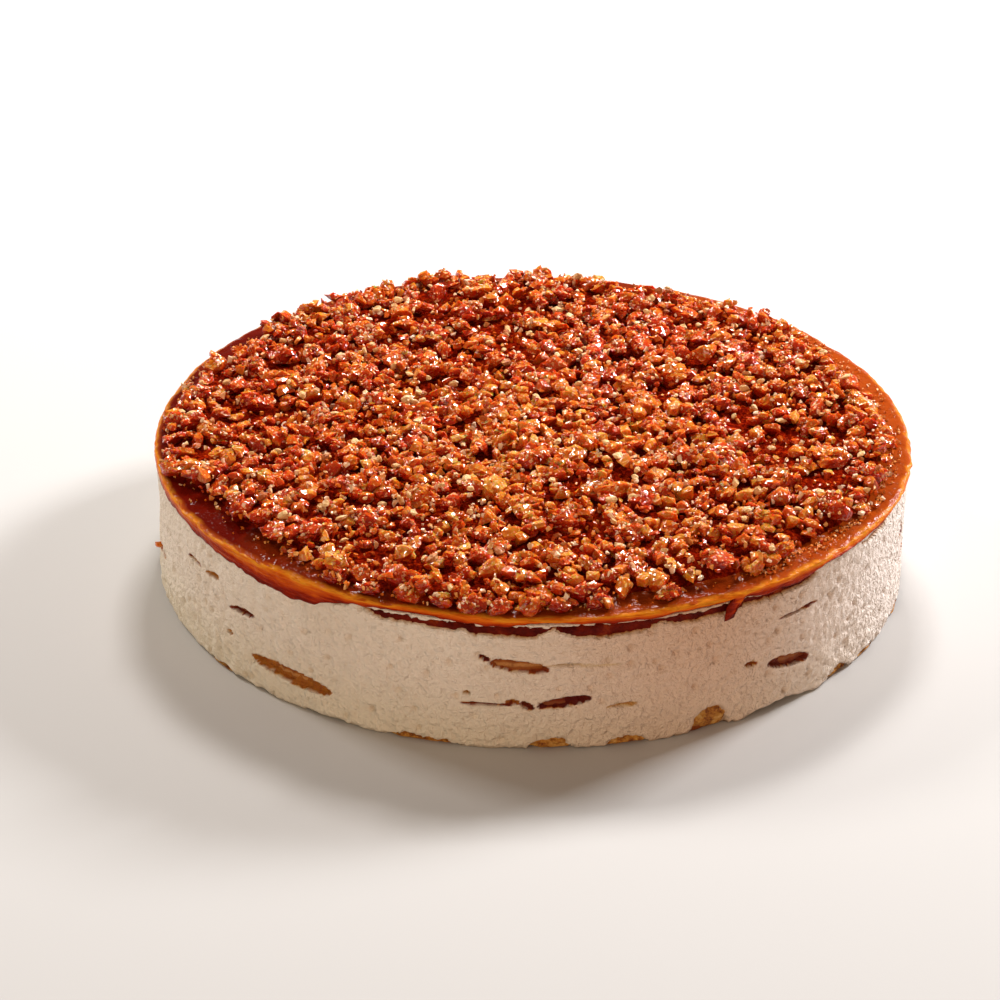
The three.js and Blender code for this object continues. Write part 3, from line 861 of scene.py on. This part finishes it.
def bed_height(radius, azimuth):
    """The height of the bed's surface: a climb just inside the heap's edge, then low domes of two sizes."""
    a = np.radians(azimuth)
    x, y = 0.5 + radius * np.sin(a) / BED_FIELD, 0.5 - radius * np.cos(a) / BED_FIELD
    coarse = np.clip(1 - (spots(x, y, 48, 48, 62)[0] / 0.7) ** 2, 0, 1)
    fine = np.clip(1 - (spots(x, y, 110, 110, 63)[0] / 0.7) ** 2, 0, 1)
    depth = 0.9 + 1.1 * coarse + 0.8 * fine + 0.6 * noise(x, y, 14, 14, 64)
    return CARAMEL_TOP - 0.6 + (0.6 + depth) * ease(heap_edge(azimuth) - radius, 1.5, 7.0)


azimuth = column_azimuths(BED_COLUMNS)
edge_r = heap_edge(azimuth) - 1.5
radius = np.linspace(0, 1, BED_ROWS)[:, None] * edge_r
top = around(radius, azimuth, bed_height(radius, azimuth))
under = [around(share * edge_r, azimuth, CARAMEL_TOP - 0.8) for share in (1.0, 0.7, 0.35, 0.0)]
rings = np.concatenate([top, *under])[None]

sugar = Finish("boiled sugar")
tint = sugar.value("tint")
edge = sugar.value("edge")
lift = sugar.value("lift")
up = sugar.upward()
mottle = sugar.noise(420.0, 3.0, 0.6)
# Painted light and shade: each piece is lighter and more amber on top and on faces turned up, and darker and
# redder on its sides, underside and lower part, with a painted glow of light through the sugar.
base = sugar.ramp(
    tint * 0.5 + mottle * 0.5 + (1.0 - up) * 0.34 + (1.0 - lift) * 0.28 - 0.31,
    (0.00, (0.65, 0.33, 0.070)),
    (0.10, (0.62, 0.23, 0.020)),
    (0.32, (0.58, 0.120, 0.007)),
    (0.56, (0.50, 0.034, 0.003)),
    (0.95, (0.22, 0.004, 0.001)),
)
# Painted glow: thin edges and corners turn lighter amber, as if light shines through them.
base = sugar.mix(edge**3.0 * (0.5 - 0.4 * tint), base, (0.64, 0.28, 0.030))
flecks = sugar.noise(900.0, 1.0, 0.5)
base = sugar.mix(flecks.clip(0.58, 0.63) * up * 0.7, base, (0.90, 0.56, 0.26))
# Painted highlights: pale pinkish-white patches on the upward faces stand in for glints.
painted_glints = sugar.noise(230.0, 3.0, 0.6).clip(0.64, 0.70) * up
base = sugar.mix(painted_glints * 0.6, base, (0.95, 0.78, 0.64))
crinkled = sugar.noise(130.0, 2.0, 0.5).clip(0.47, 0.58)
relief = (sugar.noise(330.0, 1.0, 0.5) + flecks * 0.12) * (0.3 + crinkled * 0.7)
sugar.shade(
    base,
    Roughness=0.06 + 0.06 * sugar.noise(300.0, 2.0).clip(0.35, 0.75),
    Normal=sugar.bump(relief, 0.0013),
    Specular_IOR_Level=0.38,
    Subsurface_Weight=0.75,
    Subsurface_Radius=(1.0, 0.12, 0.015),
    Subsurface_Scale=0.002,
)
# The bed shows only in the gaps between pieces; its very dark colour is partly the crush's own and partly
# painted shade in those gaps.
settled = Finish("settled crush")
grit = settled.noise(700.0, 3.0, 0.6)
colour = settled.ramp(
    grit,
    (0.42, (0.10, 0.003, 0.001)),
    (0.60, (0.26, 0.011, 0.001)),
    (0.74, (0.50, 0.06, 0.005)),
)
settled.shade(colour, Roughness=0.9, Specular_IOR_Level=0.0, Normal=settled.bump(grit, 0.001))
bed = mesh_object("praline_bed", rings, settled.material)
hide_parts("caramel_with_praline")

# ---------------------------------------------------------------------------------------------------------
# Praline lumps: clusters of nut stuck together by dark sugar, up to 13 mm across. The largest are half
# sunk in the bed, and the others lie in the hollows between them.
# ---------------------------------------------------------------------------------------------------------
LUMP_COUNT = 116
LUMP_LARGEST = 12.8
LUMP_SMALLEST = 6.6
NUGGET_COUNT = 340
HEAP_BED = 3.4
HEAP_TOP = 54.4
HEAP_REACH = 118.6  # no loose piece lies further out
EVEN_STEPS = (0.7548776662, 0.569840291)  # steps that spread places evenly over an area
GOLDEN_ANGLE = 2.39996
WHOLE_TURN = 6.28
# How many shards and crumbs stick to the lumps and nuggets.
STUCK_SHARDS = 500
STUCK_CRUMBS = 3400
# Lumps that overhang the rim: azimuth, radius to their middle, size.
RIM_LUMPS = [
    (-74.0, 117.0, 8.5), (-30.0, 115.5, 7.0), (-24.0, 116.5, 6.0), (-18.0, 115.5, 7.5), (-13.0, 116.5, 6.5),
    (-8.5, 117.0, 7.5), (-4.5, 116.8, 6.5), (0.0, 116.0, 7.0), (4.5, 115.5, 6.5), (10.0, 114.5, 6.0),
    (21.0, 114.5, 6.5),
]


def draw(i, k):
    """A number from 0 to 1 that depends on two whole numbers alone."""
    return (np.sin(i * 12.9898 + k * 78.233) * 43758.5453) % 1.0


def turned(tip, spin):
    """Turning matrices: a tip about X and then a spin about Z."""
    c, s, zero, one = np.cos(tip), np.sin(tip), np.zeros(len(tip)), np.ones(len(tip))
    about_x = np.array([[one, zero, zero], [zero, c, -s], [zero, s, c]])
    c, s = np.cos(spin), np.sin(spin)
    about_z = np.array([[c, -s, zero], [s, c, zero], [zero, zero, one]])
    return np.einsum("ijn,jkn->nik", about_z, about_x)


def faceted(count, rows, columns, planes, rng):
    """Stones of radius about 1, cut by planes at uneven distances all round: the radius in a direction is
    the least of distance / cosine over the planes. Every other row is turned by half a step, so the flat
    faces between the points are triangles. Also says how far each point stands out, from 0 to 1."""
    v = np.linspace(0, np.pi, rows)[:, None]
    v = v + 0.16 * (rng.uniform(-1, 1, (count, rows, columns)) * (0 < v) * (v < np.pi) * np.pi / rows)
    step = 2 * np.pi / columns
    u = -step * (np.arange(columns) + 0.5 * (np.arange(rows)[:, None] % 2))
    u = u + 0.3 * step * rng.uniform(-1, 1, (count, rows, columns))
    way = np.stack([np.sin(v) * np.cos(u), np.sin(v) * np.sin(u), np.cos(v)], axis=-1)
    k = np.arange(planes) + 0.5
    z = 1 - 2 * k / planes
    spiral = GOLDEN_ANGLE * k
    even = np.stack([np.sqrt(1 - z * z) * np.cos(spiral), np.sqrt(1 - z * z) * np.sin(spiral), z], axis=-1)
    normal = even[None] + rng.normal(0, 0.22, (count, planes, 3))
    normal = normal @ turned(rng.uniform(0, WHOLE_TURN, count), rng.uniform(0, WHOLE_TURN, count))
    normal = normal / np.linalg.norm(normal, axis=-1, keepdims=True)
    distance = rng.uniform(0.6, 1.0, (count, planes))
    cosine = np.clip(np.einsum("nrcj,npj->nrcp", way, normal), 0.05, None)
    radius = np.clip((distance[:, None, None] / cosine).min(axis=-1), 0.4, 1.3)
    edge = np.clip((radius - 0.75) / 0.5, 0, 1)
    return way * radius[..., None], edge


def knobbly(body, edge, depth, rng):
    """Roughens bodies by moving each point in or out."""
    knobs = rng.uniform(-1, 1, body.shape[:3])
    knobs[:, [0, -1]] = knobs[:, [0, -1], :1]
    return body * (1 + depth * knobs[..., None]), np.clip(edge + 0.5 * knobs, 0, 1)


# The heap's surface as heights on a square grid, raised by each piece that is laid down.
CELL = 0.5
REACH = 126.0
line = np.arange(-REACH, REACH, CELL)
grid_x, grid_y = np.meshgrid(line, line, indexing="ij")
grid_r, grid_a = np.hypot(grid_x, grid_y), np.degrees(np.arctan2(grid_x, -grid_y))
ground = np.where(grid_r < heap_edge(grid_a), bed_height(grid_r, grid_a), CARAMEL_TOP)


def lay(x, y, half, spin, height=None):
    """Lays one piece down and gives the height of its middle. What lies under its outline carries it,
    halfway between the mean and the highest, and the ground there then rises to its domed back."""
    a, b, c = half
    i0, i1 = int((x - a + REACH) / CELL), int((x + a + REACH) / CELL) + 2
    j0, j1 = int((y - a + REACH) / CELL), int((y + a + REACH) / CELL) + 2
    dx = (np.arange(i0, i1) * CELL - REACH - x)[:, None]
    dy = (np.arange(j0, j1) * CELL - REACH - y)[None, :]
    cos, sin = np.cos(spin), np.sin(spin)
    away = ((dx * cos + dy * sin) / a) ** 2 + ((dy * cos - dx * sin) / b) ** 2
    covered = away < 1
    window = ground[i0:i1, j0:j1]
    under = window[covered] if covered.any() else window.ravel()
    if height is None:
        height = 0.5 * (under.mean() + under.max()) + 0.6 * c
    if height + c <= HEAP_TOP:
        back = height + 0.85 * c * np.sqrt(np.clip(1 - away, 0, 1))
        window[covered] = np.maximum(window[covered], back[covered])
    return height


def fineness(x, y):
    """How finely the praline is crushed: 1 in the middle and at the left front, and less towards the right
    and the back, where lumps stand apart."""
    return np.exp(-(((x + 20) / 62) ** 2) - ((y + 22) / 52) ** 2)


def scatter(halves, tilt, rng, tries=4, past_edge=0.0, thinned=0.0):
    """Places for pieces on the heap, tipped at random by about tilt radians. Each takes the lowest of a few
    random spots, and one that would stand too high is left out, and so is a share of those where the
    praline is coarse. Gives the kept pieces' half-sizes, tips, spins and middles."""
    tips = rng.normal(0, tilt, len(halves))
    kept, middles, spins = [], [], []
    for number, ((a, b, c), tip) in enumerate(zip(halves, tips)):
        angle = rng.uniform(-180, 180, tries)
        reach = np.minimum(heap_edge(angle) - 0.5 * a + past_edge, HEAP_REACH - 0.6 * a)
        radius = reach * np.sqrt(rng.uniform(0, 1, tries))
        choice = around(radius, angle, 0.0)
        cells = ((choice[:, :2] + REACH) / CELL).astype(int)
        x, y = choice[np.argmin(ground[cells[:, 0], cells[:, 1]]), :2]
        spin = rng.uniform(0, 2 * np.pi)
        if rng.uniform() < thinned * (1 - fineness(x, y)):
            continue
        upright = np.hypot(c * np.cos(tip), b * np.sin(tip))
        height = lay(x, y, (a, np.hypot(b * np.cos(tip), c * np.sin(tip)), upright), spin)
        if height + upright <= HEAP_TOP:
            kept.append(number)
            middles.append((x, y, height))
            spins.append(spin)
    return halves[kept], tips[kept], np.array(spins), np.array(middles)


def put(body, halves, tips, spins, middles):
    """Sizes, turns and places unit bodies. Also says how high in its piece each point is, from 0 to 1."""
    sized = body * halves[:, None, None, :]
    rings = np.einsum("nij,nrcj->nrci", turned(tips, spins), sized)
    height = rings[..., 2]
    lowest, highest = height.min(axis=(1, 2), keepdims=True), height.max(axis=(1, 2), keepdims=True)
    return rings + middles[:, None, None, :], (height - lowest) / (highest - lowest)


def stuck(rings, lift, lowest, count, rng):
    """Random points of pieces, from the share lowest of their height up, where smaller ones stick."""
    points = rings[lift > lowest]
    return points[rng.choice(len(points), count)]


def redness(middles, rng):
    """How dark and red each piece is, from 0 to 1: random, but paler and yellower in the middle and front,
    and darker at the back and on the left."""
    x, y = middles[:, 0], middles[:, 1]
    pale = np.exp(-(((x + 18) / 55) ** 2) - ((y + 25) / 34) ** 2)
    dark = np.exp(-(((x + 75) / 45) ** 2) - ((y - 25) / 55) ** 2)
    dark = dark + np.exp(-(((x - 35) / 60) ** 2) - ((y - 70) / 45) ** 2)
    return np.clip(rng.uniform(0, 1, len(x)) - 0.16 * pale + 0.28 * dark, 0, 1)


def mixed_sizes(largest, smallest, count, flat, rng):
    """Half-sizes of pieces, the largest first: length, then breadth, then the range flat of the height."""
    size = np.linspace(largest, smallest, count) * rng.uniform(0.85, 1.15, count)
    shares = [np.ones(count), rng.uniform(0.6, 0.86, count), rng.uniform(*flat, count)]
    return 0.5 * size[:, None] * np.stack(shares, axis=1)


rng = np.random.default_rng(71)
i = np.arange(LUMP_COUNT)
size = LUMP_LARGEST - (LUMP_LARGEST - LUMP_SMALLEST) * np.sqrt(i / LUMP_COUNT)
angle = 360.0 * ((0.5 + (i + 1) * EVEN_STEPS[1]) % 1.0)
reach = CARAMEL_RADIUS - bare_caramel(angle) - size / 3
radius = reach * np.sqrt((0.5 + (i + 1) * EVEN_STEPS[0]) % 1.0)
high = size * (0.23 + 0.12 * draw(i, 3))
sunk = np.where(radius > reach - 4, 0.5, 1.0) * HEAP_BED
middles = around(radius, angle, CARAMEL_TOP + sunk + 0.15 * high)
halves = np.stack([size / 2, size * (0.3 + 0.13 * draw(i, 2)), high], axis=-1)
tips = np.radians(50 * (draw(i, 4) - 0.5))
spins = np.radians(360 * draw(i, 5))
for azimuth, radius, size in RIM_LUMPS:
    middles = np.concatenate([middles, [around(radius, azimuth, CARAMEL_TOP + 0.22 * size)]])
    halves = np.concatenate([halves, [[0.5 * size, 0.38 * size, 0.33 * size]]])
    tips = np.append(tips, 0.2)
    spins = np.append(spins, np.radians(azimuth + 20))
for place, half, spin in zip(middles, halves, spins):
    lay(place[0], place[1], half, spin, height=place[2])
body, corner = knobbly(*faceted(len(middles), 12, 18, 10, rng), 0.07, rng)
rings, lift = put(body, halves * (1.18, 1.18, 1.04), tips, spins, middles)
tints = np.clip(redness(middles, rng) + 0.30, 0, 1.1)[:, None, None]
shard_spots = stuck(rings, lift, 0.3, STUCK_SHARDS, rng)
crust_spots = [stuck(rings, lift, 0.6, STUCK_CRUMBS // 2, rng)]
values = {"edge": corner, "tint": tints, "lift": lift}
large = mesh_object("praline_lumps", rings, sugar.material, smooth=False, **values)

halves = mixed_sizes(9.8, 5.4, NUGGET_COUNT, (0.5, 0.8), rng)
halves, tips, spins, middles = scatter(halves, 0.45, rng)
body, corner = knobbly(*faceted(len(tips), 8, 12, 9, rng), 0.07, rng)
rings, lift = put(body, halves, tips, spins, middles)
tints = np.clip(redness(middles, rng) + 0.14, 0, 1)[:, None, None]
crust_spots.append(stuck(rings, lift, 0.6, STUCK_CRUMBS // 2, rng))
values = {"edge": corner, "tint": tints, "lift": lift}
small = mesh_object("praline_nuggets", rings, sugar.material, smooth=False, **values)

for piece in (large, small):
    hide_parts("caramel_with_praline")

# ---------------------------------------------------------------------------------------------------------
# Praline slabs, shards and crumbs: clear sugar that broke off the nuts in angular blocks of a few
# millimetres, and the crumbs and dust that went with them.
# ---------------------------------------------------------------------------------------------------------
SLAB_COUNT = 560
SHARD_COUNT = 1600
CRUMB_COUNT = 5200
DUST_COUNT = 1400
DUST_REACH = 117.5
# Crumbs that stick to the cream's side: azimuth, height, size.
SIDE_CRUMBS = [(-80.5, 14.0, 3.0), (121.0, 26.0, 2.2), (-150.0, 17.0, 2.6)]
# A slab's levels, as slabs() takes them, and the fewer ones of a crumb.
SLAB_LEVELS = ((0, 1, 1), (0.55, 1, 1), (1, 0.86, 1), (1, -0.86, 0), (0.6, -1, 0), (0, -1, 0))
CRUMB_LEVELS = SLAB_LEVELS[::2] + SLAB_LEVELS[-1:]


def slabs(count, columns, levels, rng):
    """Broken slabs with uneven corners. Each level is a share of the outline's size, a height from -1 to 1,
    and 1 for the smaller upper outline. Both faces lean together, each slab its own way."""
    angle = -(np.arange(columns) + rng.uniform(-0.34, 0.34, (count, columns))) * 2 * np.pi / columns
    reach = rng.uniform(0.62, 1.12, (count, columns))
    shrink = rng.uniform(0.6, 0.98, (count, 1))
    lean = rng.normal(0, 0.5, (count, 2, 1))
    rows = []
    for share, height, upper in levels:
        size = share * reach * (shrink if upper else 1.0)
        x, y = size * np.cos(angle), size * np.sin(angle)
        rows.append(np.stack([x, y, height + np.sign(height) * (lean[:, 0] * x + lean[:, 1] * y)], axis=-1))
    edge = np.array([share**2 for share, _, _ in levels])
    return np.stack(rows, axis=1), np.broadcast_to(edge[None, :, None], (count, len(levels), columns))


halves = mixed_sizes(7.6, 3.6, SLAB_COUNT, (0.25, 0.5), rng)
halves, tips, spins, middles = scatter(halves, 0.7, rng, tries=6, thinned=0.6)
body, corner = slabs(len(tips), 6, SLAB_LEVELS, rng)
rings, lift = put(body, halves, tips, spins, middles)
tints = redness(middles, rng)[:, None, None]
values = {"edge": corner, "tint": tints, "lift": lift}
pieces = [mesh_object("praline_slabs", rings, sugar.material, smooth=False, **values)]

halves = mixed_sizes(6.4, 2.8, SHARD_COUNT, (0.35, 0.7), rng)
halves, tips, spins, middles = scatter(halves, 0.8, rng, tries=5, past_edge=1.0, thinned=0.6)
middles = np.concatenate([middles, shard_spots])
halves = np.concatenate([halves * 1.15, mixed_sizes(4.8, 2.4, STUCK_SHARDS, (0.4, 0.8), rng)])
tips = np.append(tips, rng.normal(0, 0.9, STUCK_SHARDS))
spins = np.append(spins, rng.uniform(0, WHOLE_TURN, STUCK_SHARDS))
body, corner = knobbly(*faceted(len(middles), 5, 8, 8, rng), 0.16, rng)
rings, lift = put(body, halves, tips, spins, middles)
tints = redness(middles, rng)[:, None, None]
values = {"edge": corner, "tint": tints, "lift": lift}
pieces.append(mesh_object("praline_shards", rings, sugar.material, smooth=False, **values))

crumb = Finish("praline crumb")
grains = crumb.value("tint") + crumb.noise(900.0, 2.0, 0.5) * 0.5 - 0.25
# The palest colour stands partly for pale nut crumbs and partly for painted highlights; the crumbs on the
# tops of the large pieces get the most of it.
grain = crumb.ramp(
    grains,
    (0.08, (0.90, 0.64, 0.42)),
    (0.25, (0.86, 0.40, 0.11)),
    (0.45, (0.76, 0.17, 0.013)),
    (0.85, (0.44, 0.034, 0.003)),
)
crumb.shade(
    grain,
    Roughness=0.06 + 0.2 * crumb.noise(700.0),
    Normal=crumb.bump(crumb.noise(900.0, 1.0), 0.0004),
    Specular_IOR_Level=0.35,
)
halves = mixed_sizes(2.8, 1.1, CRUMB_COUNT, (0.4, 0.8), rng)
halves, tips, spins, middles = scatter(halves, 0.9, rng, tries=2, past_edge=1.5, thinned=0.4)
body, _ = slabs(len(tips), 5, CRUMB_LEVELS, rng)
rings, _ = put(body, halves, tips, spins, middles)
tints = rng.uniform(0, 1, (len(tips), 1, 1))
pieces.append(mesh_object("praline_crumbs", rings, crumb.material, smooth=False, tint=tints))

# Finer crumbs that stick to the tops of the large pieces, mostly in the palest colours, which are partly
# painted highlights.
middles = np.concatenate(crust_spots)
halves = mixed_sizes(2.1, 0.8, len(middles), (0.5, 0.9), rng)
body, _ = slabs(len(middles), 5, CRUMB_LEVELS, rng)
tips, spins = rng.normal(0, 0.9, len(middles)), rng.uniform(0, WHOLE_TURN, len(middles))
rings, _ = put(body, halves, tips, spins, middles)
tints = rng.uniform(0, 1, (len(middles), 1, 1)) ** 1.3
pieces.append(mesh_object("praline_crust", rings, crumb.material, smooth=False, tint=tints))

# Golden dust that rolled out over the bare caramel, most of it at the right and the back.
rolled_right = rng.uniform(0, 1, DUST_COUNT) < 0.75
right, anywhere = rng.uniform(35, 185, DUST_COUNT), rng.uniform(-180, 180, DUST_COUNT)
angle = np.where(rolled_right, right, anywhere)
out = rng.exponential(0.35, DUST_COUNT)
radius = heap_edge(angle) + np.minimum(out, 1) * (DUST_REACH - heap_edge(angle)) - 0.8
halves = mixed_sizes(1.3, 0.5, DUST_COUNT, (0.5, 0.9), rng)
middles = around(radius, angle, CARAMEL_TOP + 0.25)
for azimuth, height, size in SIDE_CRUMBS:
    middles = np.concatenate([middles, [around(CREAM_RADIUS + 0.3, azimuth, height)]])
    halves = np.concatenate([halves, [[0.4 * size, 0.5 * size, 0.5 * size]]])
count = len(middles)
body, _ = slabs(count, 5, CRUMB_LEVELS, rng)
rings, _ = put(body, halves, rng.normal(0, 0.9, count), rng.uniform(0, WHOLE_TURN, count), middles)
tints = 0.15 + 0.45 * rng.uniform(0, 1, (count, 1, 1))
pieces.append(mesh_object("praline_dust", rings, crumb.material, smooth=False, tint=tints))
for piece in pieces:
    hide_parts("caramel_with_praline")

# ---------------------------------------------------------------------------------------------------------
# Nut: bare bits that broke out of the sugar, beige inside with a little brown skin on some.
# ---------------------------------------------------------------------------------------------------------
NUT_COUNT = 460
nut = Finish("chopped nut")
shade = nut.value("tint")
flesh = nut.mix(nut.noise(700.0, 3.0, 0.6).clip(0.35, 0.7), (0.84, 0.56, 0.27), (0.74, 0.40, 0.13))
skin = (shade + nut.noise(260.0, 2.0) * 0.5).clip(0.95, 1.15)
flesh = nut.mix(skin, flesh, (0.42, 0.10, 0.018))
nut.shade(flesh, Roughness=0.35, Specular_IOR_Level=0.25, Normal=nut.bump(nut.noise(800.0, 1.0), 0.0006))
halves = mixed_sizes(4.4, 1.6, NUT_COUNT, (0.3, 0.6), rng)
halves, tips, spins, middles = scatter(halves, 0.9, rng, tries=1, thinned=0.4)
body, _ = knobbly(*faceted(len(tips), 6, 8, 12, rng), 0.12, rng)
rings, _ = put(body, halves, tips, spins, middles)
tints = rng.uniform(0, 1, (len(tips), 1, 1))
nuts = mesh_object("nut_bits", rings, nut.material, smooth=False, tint=tints)
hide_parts("caramel_with_praline")
